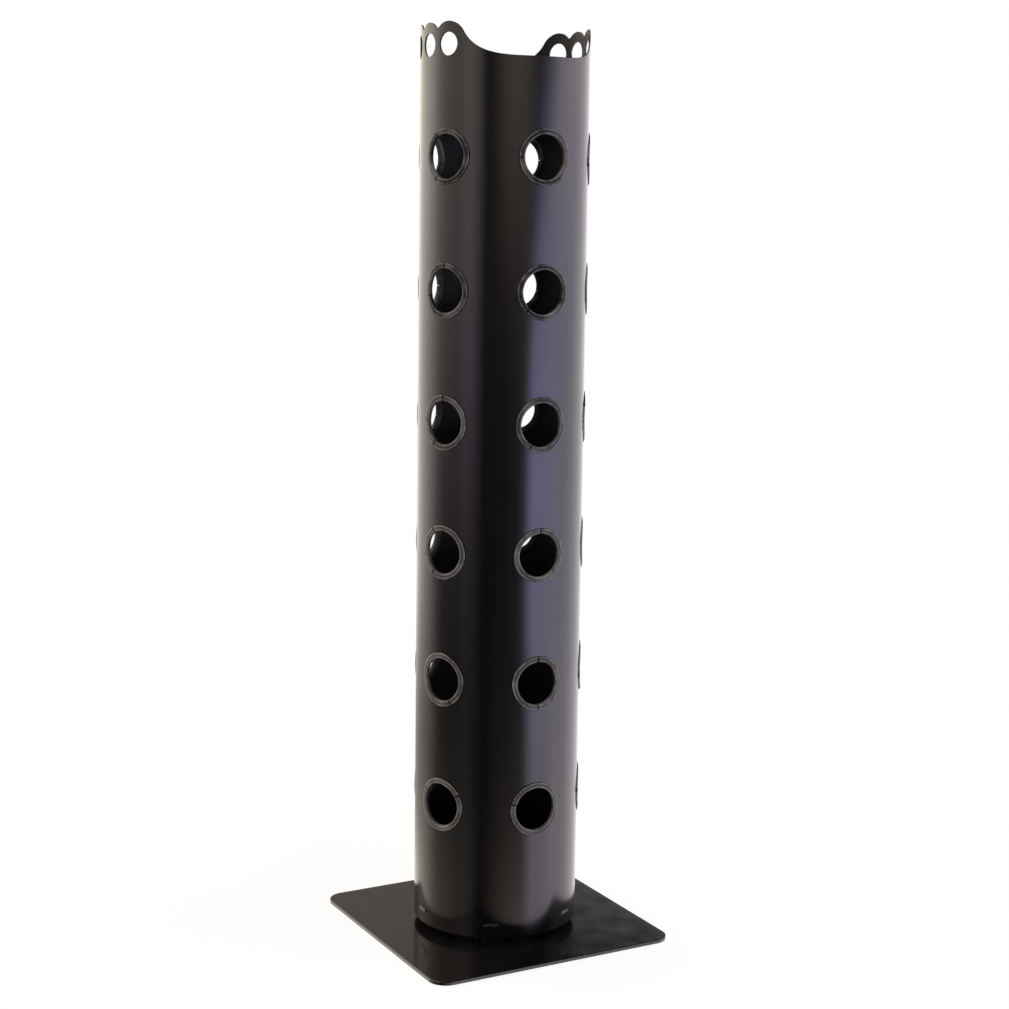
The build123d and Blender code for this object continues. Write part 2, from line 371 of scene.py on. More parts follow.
def crown_level(tower, offset):
    """Height of the top edge, at a distance from the middle of the ears as seen from the side."""
    offset = abs(offset)
    lobe_turn = tower.lobe_pitch / TUBE_RADIUS
    spacing = TUBE_RADIUS * sin(lobe_turn)
    lobe_level = TUBE_HIGH.z - tower.lobe_radius
    dip_level = TUBE_HIGH.z - tower.dip_depth
    dip_rise = dip_level + tower.dip_radius - lobe_level
    reach = tower.lobe_radius + tower.dip_radius
    dip_offset = spacing + sqrt(reach ** 2 - dip_rise ** 2)
    shoulder = spacing + (dip_offset - spacing) * tower.lobe_radius / reach
    valley_reach = tower.lobe_radius + tower.valley_radius
    valley_start = spacing / 2 * tower.lobe_radius / valley_reach
    if offset < valley_start:
        return lobe_level + sqrt(tower.lobe_radius ** 2 - offset ** 2)
    if offset < spacing - valley_start:
        valley_level = lobe_level + sqrt(valley_reach ** 2 - (spacing / 2) ** 2)
        return valley_level - sqrt(tower.valley_radius ** 2 - (offset - spacing / 2) ** 2)
    if offset < shoulder:
        return lobe_level + sqrt(tower.lobe_radius ** 2 - (offset - spacing) ** 2)
    if offset < dip_offset:
        drop = sqrt(tower.dip_radius ** 2 - (dip_offset - offset) ** 2)
        return dip_level + tower.dip_radius - drop
    return dip_level


def loop_sides(loop):
    """Way out of a flat counter-clockwise loop at each point, and the mitre share of its corner."""
    sides = []
    for index, point in enumerate(loop):
        before = (point - loop[index - 1]).normalized()
        after = (loop[(index + 1) % len(loop)] - point).normalized()
        side = Vector((before.y + after.y, -before.x - after.x)).normalized()
        sides.append((side, max(side.dot(Vector((after.y, -after.x))), MITRE_LIMIT)))
    return sides


def sheet_outline(tower):
    """Outline of the unrolled sheet, drawn in by its edge radius: foot, seam and top edge."""
    half = pi * TUBE_RADIUS - tower.seam_gap / 2
    outline = [Vector((-half, TUBE_LOW.z)), Vector((half, TUBE_LOW.z))]
    for step in range(CROWN_STEPS + 1):
        along = half - 2 * half * step / CROWN_STEPS
        offset = TUBE_RADIUS * cos(along / TUBE_RADIUS)
        outline.append(Vector((along, crown_level(tower, offset))))
    return [point - side * (tower.edge_radius / share)
            for point, (side, share) in zip(outline, loop_sides(outline))]


def round_opening(turn, level, radius, steps):
    """Outline, on the unrolled sheet, of a round hole drilled straight through the wall."""
    points = []
    for step in range(steps):
        angle = 2 * pi * step / steps
        along = TUBE_RADIUS * (turn + asin(radius * cos(angle) / TUBE_RADIUS))
        points.append(Vector((along, level + radius * sin(angle))))
    return points


def sheet_openings(tower):
    """Outlines of all openings in the unrolled sheet, set back by the edge radius."""
    openings = []
    for row in range(ROW_COUNT):
        for column in range(COLUMN_COUNT):
            turn = column_turn(tower, column)
            radius = tower.hole_radius + tower.edge_radius
            openings.append(round_opening(turn, row_level(row), radius, HOLE_STEPS))
    ear_level = TUBE_HIGH.z - tower.ear_hole_drop
    for side in (-pi / 2, pi / 2):
        for lobe in range(tower.lobe_count):
            turn = side + (lobe - (tower.lobe_count - 1) / 2) * tower.lobe_pitch / TUBE_RADIUS
            radius = tower.ear_hole_radius + tower.edge_radius
            openings.append(round_opening(turn, ear_level, radius, EAR_HOLE_STEPS))
    slot_high = FLOOR_TOP + tower.edge_radius
    slot_low = FLOOR_TOP - tower.slot_height - tower.edge_radius
    slot_half = tower.slot_length / 2 + tower.edge_radius
    for slot in range(tower.slot_count):
        middle = TUBE_RADIUS * (-pi / 2 + 2 * pi * slot / tower.slot_count)
        middle = middle - 2 * pi * TUBE_RADIUS if middle > pi * TUBE_RADIUS else middle
        openings.append([
            Vector((middle - slot_half, slot_low)), Vector((middle + slot_half, slot_low)),
            Vector((middle + slot_half, slot_high)), Vector((middle - slot_half, slot_high)),
        ])
    return openings


def fill_sheet(outline, openings):
    """Points and triangles of the unrolled sheet, cut along upright and level lines."""
    points = []
    faces = []
    for loop in [outline, *openings]:
        faces.append(list(range(len(points), len(points) + len(loop))))
        points.extend(loop)
    along_limit = max(point.x for point in outline)
    low = min(point.y for point in outline)
    high = max(point.y for point in outline)
    upright_count = round(along_limit / TUBE_RADIUS / SHEET_STEP)
    cuts = []
    for step in range(1 - upright_count, upright_count):
        along = step * SHEET_STEP * TUBE_RADIUS
        cuts.append((Vector((along, low)), Vector((along, high))))
    for step in range(1, SHEET_BANDS):
        level = low + (high - low) * step / SHEET_BANDS
        cuts.append((Vector((-along_limit, level)), Vector((along_limit, level))))
    lines = []
    for ends in cuts:
        lines.append((len(points), len(points) + 1))
        points.extend(ends)
    # The fill covers the openings too, so the triangles that lie in the outline alone are kept.
    places, _, filled, _, _, sources = delaunay_2d_cdt(
        points, lines, faces, FILL_ALL, MERGE_DISTANCE)
    kept = [list(face) for face, loops in zip(filled, sources) if loops == [0]]
    used = sorted({corner for face in kept for corner in face})
    renumber = {corner: index for index, corner in enumerate(used)}
    triangles = [[renumber[corner] for corner in face] for face in kept]
    return [places[corner] for corner in used], triangles


def border_loops(faces):
    """Loops of points along the borders of a filled sheet, with the sheet on their left."""
    following = {}
    edges = {(face[i - 1], face[i]) for face in faces for i in range(len(face))}
    for start, end in edges:
        if (end, start) not in edges:
            following[start] = end
    loops = []
    while following:
        start, corner = following.popitem()
        loop = [start]
        while corner != start:
            loop.append(corner)
            corner = following.pop(corner)
        loops.append(loop)
    return loops


def roll_sheet(tower):
    """Points, faces, normals, rim marks and bore faces of the tube, rolled from a flat sheet."""
    flat, triangles = fill_sheet(sheet_outline(tower), sheet_openings(tower))
    count = len(flat)
    bore_radius = TUBE_RADIUS - tower.wall
    turns = [point.x / TUBE_RADIUS for point in flat]
    outward = [wall_point(turn, 1.0, 0.0) for turn in turns]
    points = [wall_point(turn, TUBE_RADIUS, point.y) for turn, point in zip(turns, flat)]
    points += [wall_point(turn, bore_radius, point.y) for turn, point in zip(turns, flat)]
    normals = outward + [-direction for direction in outward]
    faces = [tuple(face) for face in triangles]
    faces += [tuple(count + corner for corner in reversed(face)) for face in triangles]
    rim = [0.0] * (2 * count)
    bore = [0] * len(triangles) + [1] * len(triangles)
    turned = [(radians(turn), 1.0) for turn in EDGE_TURNS]
    turned += [(radians(turn), -1.0) for turn in reversed(EDGE_TURNS)]
    for loop in border_loops(triangles):
        rings = [list(loop)]
        sides = [side / share for side, share in loop_sides([flat[corner] for corner in loop])]
        for turn, face_side in turned:
            ring = []
            for corner, side in zip(loop, sides):
                place = flat[corner] + side * (tower.edge_radius * sin(turn))
                depth = tower.edge_radius * (1 - cos(turn))
                radius = TUBE_RADIUS - depth if face_side > 0 else bore_radius + depth
                angle = place.x / TUBE_RADIUS
                level_way = Vector((cos(angle), sin(angle), 0.0))
                across = level_way * side.x + Vector((0.0, 0.0, 1.0)) * side.y
                ring.append(len(points))
                points.append(wall_point(angle, radius, place.y))
                out = wall_point(angle, face_side * cos(turn), 0.0)
                normals.append((out + across.normalized() * sin(turn)).normalized())
                rim.append(sin(turn))
            rings.append(ring)
        rings.append([count + corner for corner in loop])
        for ring, next_ring in zip(rings, rings[1:]):
            for index in range(len(loop)):
                faces.append((
                    ring[index], ring[index - 1], next_ring[index - 1], next_ring[index]))
                bore.append(0)
    return points, faces, normals, rim, bore


def sleeve_faces(size, count, turned=False):
    """Faces round a closed section that is swept over a number of stations, and over both ends."""
    faces = []
    for station in range(count - 1):
        start = station * size
        for index in range(size):
            following = (index + 1) % size
            others = (start + following, start + size + following, start + size + index)
            faces.append((start + index, *(others if turned else reversed(others))))
    ends = [range(size), range(count * size - 1, count * size - size - 1, -1)]
    return faces + [tuple(reversed(end) if turned else end) for end in ends]


def weld_section(level, tower):
    """Section of the seam weld at a height: a low dressed cap outside, a rippled bead inside."""
    ripple = WELD_RIPPLE_DEPTH * (1 - (level / WELD_RIPPLE_PITCH) % 1.0)
    above_floor = level - FLOOR_TOP - WELD_END
    below_rim = WELD_HIGH.z - WELD_END - level
    swell = max(WELD_END_SHARE, min(1.0, above_floor / WELD_END, below_rim / WELD_END))
    root = TUBE_RADIUS - tower.wall + WELD_BEAD_SUNK
    section = []
    for step in range(WELD_CAP_STEPS + 1):
        share = step / WELD_CAP_STEPS * 2 - 1
        section.append((share * WELD_CAP_HALF, TUBE_RADIUS + WELD_CAP_PROUD * (1 - share ** 2)))
    for step in range(WELD_BEAD_STEPS + 1):
        angle = pi * step / WELD_BEAD_STEPS
        depth = WELD_BEAD_RADIUS * swell * (1 - ripple) * sin(angle)
        section.append((WELD_BEAD_RADIUS * cos(angle), root - depth))
    return section


def trim_section(trim, tower):
    """Section of a trim as (distance from the hole's middle, from the tower's axis, rim mark)."""
    web_face = tower.hole_radius - trim.clearance
    inner = web_face - trim.web
    outer = tower.hole_radius + trim.flange
    over = TUBE_RADIUS + trim.clearance
    under = TUBE_RADIUS - tower.wall - trim.clearance
    section = [(web_face, over, 0.0)]
    dome = []
    for step in range(TRIM_DOME_STEPS + 1):
        angle = pi * step / TRIM_DOME_STEPS
        reach = (inner + outer) / 2 + (outer - inner) / 2 * cos(angle)
        # The rim mark lays painted highlight lines along the shoulders of the strip's face.
        line = max(0.0, 1 - abs(abs(cos(angle)) - trim.line_place) / trim.line_width)
        dome.append((reach, sin(angle) ** trim.fullness, line))
    section += [(reach, over + trim.lip * rise, mark) for reach, rise, mark in dome]
    section.append((inner, (over + under) / 2, 0.0))
    section += [(reach, under - trim.lip * rise, 0.0) for reach, rise, _ in reversed(dome)]
    section.append((web_face, under, 0.0))
    return section


def clock_angle(hour):
    """Angle round a hole, from its right, of an hour on a clock's face."""
    return radians(90.0 - 30.0 * hour)


def trim_stations(trim, tower, hours):
    """Stations along a trim as (angle round the hole, angle from its joint, share left)."""
    outer = tower.hole_radius + trim.flange
    joint = clock_angle(hours[0])
    joint_half = trim.joint_gap / 2 / outer
    length = 2 * pi - 2 * joint_half
    slit_half = trim.slit_width / 2 / outer
    slope = slit_half * SLIT_SLOPE
    stations = {joint_half + length * step / TRIM_STEPS: 1.0 for step in range(TRIM_STEPS + 1)}
    for hour in hours[1:]:
        middle = (clock_angle(hour) - joint) % (2 * pi)
        near = slit_half + 2 * slope
        stations = {angle: left for angle, left in stations.items() if abs(angle - middle) > near}
        stations[middle - slit_half - slope] = 1.0
        stations[middle - slit_half] = SLIT_FLANGE
        stations[middle + slit_half] = SLIT_FLANGE
        stations[middle + slit_half + slope] = 1.0
    return [(joint + angle, angle, left) for angle, left in sorted(stations.items())]


def side_sheen(column, angle):
    """How far the foot of a trim is painted light, as a sheen, at an angle round its hole."""
    if column != SHEEN_COLUMN:
        return 0.0
    return min(1.0, max(0.0, abs(cos(angle)) - SHEEN_SIDE_START) / SHEEN_SIDE_FADE)


def sweep_trim(trim, tower, row, column):
    """Points, faces, rim marks and painted shade faces of the strip bent round one planting hole.
    """
    turn = column_turn(tower, column)
    level = row_level(row)
    section = trim_section(trim, tower)
    stations = trim_stations(trim, tower, cut_hours(row, column))
    web_face = tower.hole_radius - trim.clearance
    over = TUBE_RADIUS + trim.clearance
    middle_wall = TUBE_RADIUS - tower.wall / 2
    phase = TRIM_ROW_PHASE * row + TRIM_COLUMN_PHASE * column
    points = []
    rim = []
    for angle, along, left in stations:
        sway = sum(
            share * sin(waves * angle + turns * phase) for waves, share, turns in TRIM_SWAY)
        to_end = max(0.0, 1 - (stations[-1][1] - along) / TRIM_END_REACH)
        to_start = max(0.0, 1 - (along - stations[0][1]) / TRIM_END_REACH)
        for index, (reach, radius, mark) in enumerate(section):
            # On the column at the right the foot bands get a painted sheen at the sides of the
            # hole.
            if index in TRIM_FOOT_BANDS:
                mark = side_sheen(column, angle)
            if reach > web_face:
                reach = web_face + (reach - web_face) * left
                reach += trim.wobble * sway * (reach - web_face) / trim.flange
                if radius > middle_wall:
                    radius += trim.joint_lift * to_end ** 2 * (reach - web_face) / trim.flange
                    reach -= trim.joint_lift * to_start ** 2 * (reach - web_face) / trim.flange
            if left < 1.0 and radius > over:
                radius = over + (radius - over) * trim.slit_rest
            around = turn + asin(reach * cos(angle) / radius)
            points.append(wall_point(around, radius, level + reach * sin(angle)))
            rim.append(mark if left == 1.0 else 0.0)
    # Painted shade: the cuts, the ends and the foot bands away from the sheen get the dark cut
    # rubber, for dark slits and a dark contact line.
    dark = []
    for (angle, _, left), (_, _, next_left) in zip(stations, stations[1:]):
        cut = min(left, next_left) < 1.0
        shaded_foot = side_sheen(column, angle) == 0.0
        for index in range(len(section)):
            dark.append(int(cut or shaded_foot and index in TRIM_FOOT_BANDS))
    return points, sleeve_faces(len(section), len(stations)), rim, dark + [1, 1]


def mesh_piece(name, points, faces, rim=None, normals=None):
    """Object with a smooth mesh, rim marks for rubbed or painted light edges, and exact normals."""
    mesh = bpy.data.meshes.new(name)
    mesh.from_pydata(points, [], faces)
    mesh.validate()
    mesh.shade_smooth()
    if rim:
        mesh.attributes.new("rim", "FLOAT", "POINT").data.foreach_set("value", rim)
    if normals:
        mesh.normals_split_custom_set_from_vertices(normals)
    piece = bpy.data.objects.new(name, mesh)
    bpy.context.scene.collection.objects.link(piece)
    return piece


def dress(piece, material, slot, *nodes):
    """Gives a new piece its finish and its place on the part, instead of its CAD nodes."""
    piece.data.materials.append(material)
    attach(piece, "root")
    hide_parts(*nodes)


def refinish(node, material):
    """Gives a CAD node that keeps its shape a finish with detail."""
    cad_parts[node].data.materials[0] = material


def add_node(tree, kind, links=None, **settings):
    """Node of a kind, with its properties set and its inputs linked or given a value."""
    node = tree.nodes.new(kind)
    for name, value in settings.items():
        setattr(node, name, value)
    for socket, source in (links or {}).items():
        if isinstance(source, bpy.types.NodeSocket):
            tree.links.new(source, node.inputs[socket])
        else:
            node.inputs[socket].default_value = source
    return node


def opaque(colour):
    """Colour with full cover, as node sockets take it."""
    return (*colour, 1.0)


def surface_place(tree):
    """Place on a piece, in metres."""
    return add_node(tree, "ShaderNodeTexCoord").outputs["Object"]


def upward_part(tree, vector):
    """Height of a place or a direction."""
    return add_node(tree, "ShaderNodeSeparateXYZ", {"Vector": vector}).outputs["Z"]


def noise(tree, place, scale, detail, roughness=0.5):
    """Mask of soft noise."""
    node = add_node(tree, "ShaderNodeTexNoise", {
        "Vector": place, "Scale": scale, "Detail": detail, "Roughness": roughness})
    return node.outputs["Fac"]


def even_step(tree, value, start, end, low=0.0, high=1.0, kind="LINEAR"):
    """Change of a value from low to high between two marks, even or of another kind."""
    node = add_node(tree, "ShaderNodeMapRange", {
        "Value": value, "From Min": start, "From Max": end, "To Min": low, "To Max": high},
        interpolation_type=kind)
    return node.outputs["Result"]


def soft_step(tree, value, start, end, low=0.0, high=1.0):
    """Smooth change of a value from low to high between two marks."""
    return even_step(tree, value, start, end, low, high, kind="SMOOTHSTEP")


def maths(tree, operation, *values, clamp=False):
    """Result of a calculation on node outputs and plain numbers."""
    node = add_node(
        tree, "ShaderNodeMath", dict(enumerate(values)), operation=operation, use_clamp=clamp)
    return node.outputs["Value"]


def product(tree, first, *others):
    """Product of several masks."""
    for other in others:
        first = maths(tree, "MULTIPLY", first, other)
    return first


def vector_maths(tree, operation, *values, result="Value"):
    """Result of a calculation on places and directions."""
    node = add_node(
        tree, "ShaderNodeVectorMath", dict(enumerate(values)), operation=operation)
    return node.outputs[result]


def mix_values(tree, factor, first, second):
    """Number between two others."""
    node = add_node(tree, "ShaderNodeMix", {"Factor": factor, "A": first, "B": second})
    return node.outputs["Result"]


def mix_colours(tree, factor, first, second, blend="MIX"):
    """Colour between two others, or the first one tinted by the second."""
    # The colour sockets of this node are its inputs 6 and 7 and its output 2.
    node = add_node(
        tree, "ShaderNodeMix", {"Factor": factor, 6: first, 7: second},
        data_type="RGBA", blend_type=blend)
    return node.outputs[2]


def new_group(name, inputs, outputs):
    """Empty shader node group with its inputs, by their defaults, and its outputs."""
    group = bpy.data.node_groups.new(name, "ShaderNodeTree")
    for socket, default in inputs.items():
        kind = "NodeSocketColor" if isinstance(default, tuple) else "NodeSocketFloat"
        made = group.interface.new_socket(name=socket, in_out="INPUT", socket_type=kind)
        made.default_value = default
    for socket in outputs:
        kind = "NodeSocketColor" if socket == "Colour" else "NodeSocketFloat"
        group.interface.new_socket(name=socket, in_out="OUTPUT", socket_type=kind)
    given = group.nodes.new("NodeGroupInput").outputs
    return group, given, group.nodes.new("NodeGroupOutput").inputs


def grain_group():
    """Fine orange peel, faint upright streaks from rolling and patches of more or less gloss."""
    group, given, put_out = new_group(
        "sprayed_grain", {"Grain Scale": 700.0, "Streak": 0.5, "Smooth": 0.2, "Rough": 0.3},
        ("Height", "Roughness"))
    place = surface_place(group)
    stretched = add_node(
        group, "ShaderNodeMapping", {"Vector": place, "Scale": (1.0, 1.0, 0.03)}).outputs["Vector"]
    peel = noise(group, place, scale=given["Grain Scale"], detail=2.0)
    streaks = noise(group, stretched, scale=45.0, detail=3.0)
    patches = noise(group, stretched, scale=34.0, detail=4.0)
    height = maths(group, "MULTIPLY_ADD", streaks, given["Streak"], peel)
    gloss = even_step(
        group, patches, start=0.3, end=0.7, low=given["Smooth"], high=given["Rough"])
    group.links.new(height, put_out["Height"])
    group.links.new(gloss, put_out["Roughness"])
    return group


def lay_cover(group, given, put_out, cover, mask, detail, roughness, start, end):
    """Lays a second colour over the masked share of the first one, broken up by noise."""
    cloud = noise(group, surface_place(group), given["Scale"], detail, roughness)
    share = maths(group, "MULTIPLY", mask, even_step(group, cloud, start, end))
    amount = maths(group, "MULTIPLY", share, given["Amount"], clamp=True)
    mixed = mix_colours(group, amount, given["Colour"], given[cover])
    group.links.new(mixed, put_out["Colour"])


def wear_and_highlight_group():
    """Rubbed colour along the edges that carry the rim mark, which on the trims also lays painted
    highlight lines and a painted sheen.
    """
    group, given, put_out = new_group(
        "edge_wear_and_highlights",
        {"Colour": (0.0, 0.0, 0.0, 1.0), "Worn Colour": (0.1, 0.1, 0.1, 1.0), "Amount": 0.5,
         "Scale": 120.0},
        ("Colour",))
    rim = add_node(group, "ShaderNodeAttribute", attribute_name="rim").outputs["Fac"]
    lay_cover(
        group, given, put_out, "Worn Colour", rim,
        detail=5.0, roughness=0.65, start=0.35, end=0.65)
    return group


def dust_group():
    """Thin dust that gathers on faces turned up, in soft patches."""
    group, given, put_out = new_group(
        "settled_dust",
        {"Colour": (0.0, 0.0, 0.0, 1.0), "Dust Colour": (0.2, 0.18, 0.16, 1.0), "Amount": 0.2,
         "Scale": 14.0},
        ("Colour",))
    facing = add_node(group, "ShaderNodeNewGeometry").outputs["Normal"]
    upward = even_step(
        group, upward_part(group, facing), start=0.2, end=0.95, low=0.06, high=1.0)
    lay_cover(
        group, given, put_out, "Dust Colour", upward,
        detail=6.0, roughness=0.7, start=0.3, end=0.75)
    return group


def shared_group(name):
    """One of the shared effects, built the first time that it is asked for."""
    makers = {"sprayed_grain": grain_group, "edge_wear_and_highlights": wear_and_highlight_group, "settled_dust": dust_group}
    return bpy.data.node_groups.get(name) or makers[name]()


def add_effect(tree, name, links):
    """Places a shared effect in a material."""
    return add_node(tree, "ShaderNodeGroup", links, node_tree=shared_group(name))


def new_material(name):
    """Material with an empty node tree, its Principled shader and its output."""
    material = bpy.data.materials.new(name)
    material.use_nodes = True
    tree = material.node_tree
    tree.nodes.clear()
    shader = tree.nodes.new("ShaderNodeBsdfPrincipled")
    output = tree.nodes.new("ShaderNodeOutputMaterial")
    tree.links.new(shader.outputs["BSDF"], output.inputs["Surface"])
    return material, tree, shader


def lay_finish(tree, shader, colour, grain, strength, depth):
    """Links the colour, the gloss and the bumps of a finish to its shader."""
    bump = add_node(tree, "ShaderNodeBump", {
        "Strength": strength, "Distance": depth, "Height": grain.outputs["Height"]})
    tree.links.new(colour, shader.inputs["Base Color"])
    tree.links.new(grain.outputs["Roughness"], shader.inputs["Roughness"])
    tree.links.new(bump.outputs["Normal"], shader.inputs["Normal"])


def made_once(maker, name, **values):
    """Finish of a name, made the first time that it is asked for."""
    return bpy.data.materials.get(name) or maker(name, **values)


def painted_steel(name):
    """Black satin paint, sprayed over steel, with its own gloss and depth of orange peel."""
    finish = bpy.context.scene.planter_finish
    # The plate's paint flowed out smoother, and only a thin dull coat reached the bore.
    roughness, peel, ior = {
        "satin_black_paint": (finish.paint_roughness, 0.05, finish.paint_ior),
        "satin_black_plate": (finish.plate_roughness, 0.02, finish.paint_ior),
        "dull_bore_coat": (finish.bore_roughness, 0.05, finish.bore_ior),
    }[name]
    material, tree, shader = new_material(name)
    grain = add_effect(tree, "sprayed_grain", {
        "Grain Scale": 650.0, "Streak": 1.2,
        "Smooth": roughness * 0.85, "Rough": roughness * 1.2})
    wear = add_effect(tree, "edge_wear_and_highlights", {
        "Colour": opaque(finish.paint), "Worn Colour": opaque(finish.worn_paint),
        "Amount": 0.6, "Scale": 160.0})
    dust = add_effect(tree, "settled_dust", {
        "Colour": wear.outputs["Colour"], "Dust Colour": opaque(finish.dust),
        "Amount": 0.02, "Scale": 9.0})
    lay_finish(tree, shader, dust.outputs["Colour"], grain, strength=peel, depth=0.0004)
    shader.inputs["IOR"].default_value = ior
    return material


def tabbed_steel(name):
    """Black paint of the floor; the tab ends out through the tube are rubbed metal and painted
    highlight.
    """
    finish = bpy.context.scene.planter_finish
    material, tree, shader = new_material(name)
    place = surface_place(tree)
    level = vector_maths(tree, "MULTIPLY", place, (1.0, 1.0, 0.0), result="Vector")
    reach = vector_maths(tree, "LENGTH", level)
    outside = even_step(tree, reach, start=TUBE_RADIUS - TAB_RUB_DEPTH, end=TUBE_RADIUS)
    scuffs = noise(tree, place, scale=300.0, detail=4.0)
    bright = even_step(tree, scuffs, start=0.35, end=0.6, low=0.55, high=1.0)
    # The front tab is left dimmer: painted shade.
    shaded_tab = wall_point(SHADED_TAB_TURN, TUBE_RADIUS, FLOOR_TOP)
    apart = vector_maths(tree, "DISTANCE", place, shaded_tab)
    unshaded_tabs = even_step(tree, apart, start=0.008, end=0.02, low=0.1)
    uneven = maths(tree, "MULTIPLY", unshaded_tabs, bright)
    rubbed = maths(tree, "MULTIPLY", outside, uneven, clamp=True)
    bared_and_lit = mix_colours(tree, rubbed, opaque(finish.paint), opaque(finish.bare_tab_and_highlight))
    dust = add_effect(tree, "settled_dust", {
        "Colour": bared_and_lit, "Dust Colour": opaque(finish.dust), "Amount": 0.25, "Scale": 40.0})
    grain = add_effect(tree, "sprayed_grain", {
        "Grain Scale": 650.0, "Streak": 0.4, "Smooth": 0.30, "Rough": 0.45})
    lay_finish(tree, shader, dust.outputs["Colour"], grain, strength=0.1, depth=0.0004)
    tree.links.new(rubbed, shader.inputs["Metallic"])
    shader.inputs["IOR"].default_value = finish.paint_ior
    return material


def trim_rubber(name, ior, rubbed):
    """Black rubber, painted lighter low down, with rubbed patches and painted highlight lines."""
    finish = bpy.context.scene.planter_finish
    material, tree, shader = new_material(name)
    place = surface_place(tree)
    level = upward_part(tree, place)
    mottle = noise(tree, place, scale=180.0, detail=5.0, roughness=0.6)
    handling = noise(tree, place, scale=32.0, detail=2.0)
    handled = even_step(tree, handling, start=0.46, end=0.62, high=0.45 * rubbed)
    tone = maths(tree, "MULTIPLY", mottle, handled, clamp=True)
    # Painted light: the trims are painted lighter on the lower rows, with stronger light lines
    # there.
    lower_light = soft_step(tree, level, *RUBBER_PAINTED_LIGHT_HEIGHTS, low=rubbed, high=0.0)
    light_toned = mix_colours(tree, lower_light, opaque(finish.rubber), opaque(finish.painted_light_rubber))
    patched = mix_colours(tree, tone, light_toned, opaque(finish.worn_and_highlight_rubber))
    amount = soft_step(tree, level, *RUBBER_PAINTED_LIGHT_HEIGHTS, low=rubbed, high=0.7 * rubbed)
    # The rim marks give painted highlight lines on the shoulders and a painted sheen at the foot,
    # in the worn rubber colour.
    wear = add_effect(tree, "edge_wear_and_highlights", {
        "Colour": patched, "Worn Colour": opaque(finish.worn_and_highlight_rubber),
        "Amount": amount, "Scale": 120.0})
    grain = add_effect(tree, "sprayed_grain", {
        "Grain Scale": 1500.0, "Streak": 0.2, "Smooth": 0.34, "Rough": 0.48})
    lay_finish(tree, shader, wear.outputs["Colour"], grain, strength=0.25, depth=0.0003)
    shader.inputs["IOR"].default_value = ior
    return material


def zinc_steel(name):
    """Zinc plated steel with a faint spangle."""
    finish = bpy.context.scene.planter_finish
    material, tree, shader = new_material(name)
    spangle = add_node(
        tree, "ShaderNodeTexVoronoi", {"Vector": surface_place(tree), "Scale": 420.0})
    shade = even_step(tree, spangle.outputs["Color"], start=0.0, end=1.0, low=0.75, high=1.0)
    dust = add_effect(tree, "settled_dust", {
        "Colour": opaque(finish.zinc), "Dust Colour": opaque(finish.dust),
        "Amount": 0.5, "Scale": 60.0})
    tinted = mix_colours(tree, 1.0, dust.outputs["Colour"], shade, blend="MULTIPLY")
    grain = add_effect(tree, "sprayed_grain", {
        "Grain Scale": 900.0, "Streak": 0.3, "Smooth": 0.28, "Rough": 0.45})
    lay_finish(tree, shader, tinted, grain, strength=0.15, depth=0.0002)
    shader.inputs["Metallic"].default_value = 1.0
    return material


class PLANTER_OT_tower_tube(bpy.types.Operator):
    """Roll the tower tube from a flat sheet with all its openings"""

    bl_idname = "planter.tower_tube"
    bl_label = "Tower Tube"

    def execute(self, context):
        points, faces, normals, rim, bore = roll_sheet(context.scene.planter_tower)
        piece = mesh_piece("tower_tube_painted", points, faces, rim, normals)
        paint = made_once(painted_steel, "satin_black_paint")
        dress(piece, paint, "painted_steel", "tower_tube")
        piece.data.materials.append(made_once(painted_steel, "dull_bore_coat"))
        piece.data.polygons.foreach_set("material_index", bore)
        return {"FINISHED"}


class PLANTER_OT_seam_weld(bpy.types.Operator):
    """Lay the weld that closes the tube's seam along the back"""

    bl_idname = "planter.seam_weld"
    bl_label = "Seam Weld"

    def execute(self, context):
        tower = context.scene.planter_tower
        steps = round((WELD_HIGH.z - WELD_LOW.z) / WELD_STEP)
        points = []
        for step in range(steps + 1):
            level = WELD_LOW.z + (WELD_HIGH.z - WELD_LOW.z) * step / steps
            section = weld_section(level, tower)
            points.extend((-across, radius, level) for across, radius in section)
        faces = sleeve_faces(len(section), steps + 1, turned=True)
        piece = mesh_piece("seam_weld_bead", points, faces)
        paint = made_once(painted_steel, "satin_black_paint")
        dress(piece, paint, "painted_steel", "seam_weld")
        return {"FINISHED"}


class PLANTER_OT_hole_trims(bpy.types.Operator):
    """Bend a strip of rubber trim round the edge of each planting hole"""

    bl_idname = "planter.hole_trims"
    bl_label = "Hole Trims"

    def execute(self, context):
        scene = context.scene
        worn_and_lit_rubber = made_once(trim_rubber, "matte_trim_rubber", ior=1.3, rubbed=1.0)
        # The second rubber is painted shade, laid on the cuts, the ends and the foot of each strip.
        shaded_cut_rubber = made_once(trim_rubber, "dull_trim_cuts", ior=1.15, rubbed=0.0)
        for row in range(ROW_COUNT):
            for column in range(COLUMN_COUNT):
                node = f"hole_trim_r{row + 1}_c{column + 1}"
                points, faces, rim, dark = sweep_trim(
                    scene.planter_trim, scene.planter_tower, row, column)
                piece = mesh_piece(f"{node}_strip", points, faces, rim)
                piece.data.set_sharp_from_angle(angle=radians(50.0))
                dress(piece, worn_and_lit_rubber, "trim_rubber", node)
                piece.data.materials.append(shaded_cut_rubber)
                piece.data.polygons.foreach_set("material_index", dark)
        return {"FINISHED"}


class PLANTER_OT_base(bpy.types.Operator):
    """Paint the base plate and the floor of the soil space"""

    bl_idname = "planter.base"
    bl_label = "Base Plate and Floor"

    def execute(self, context):
        refinish("base_plate", made_once(painted_steel, "satin_black_plate"))
        refinish("floor_disc", made_once(tabbed_steel, "tabbed_black_paint"))
        return {"FINISHED"}


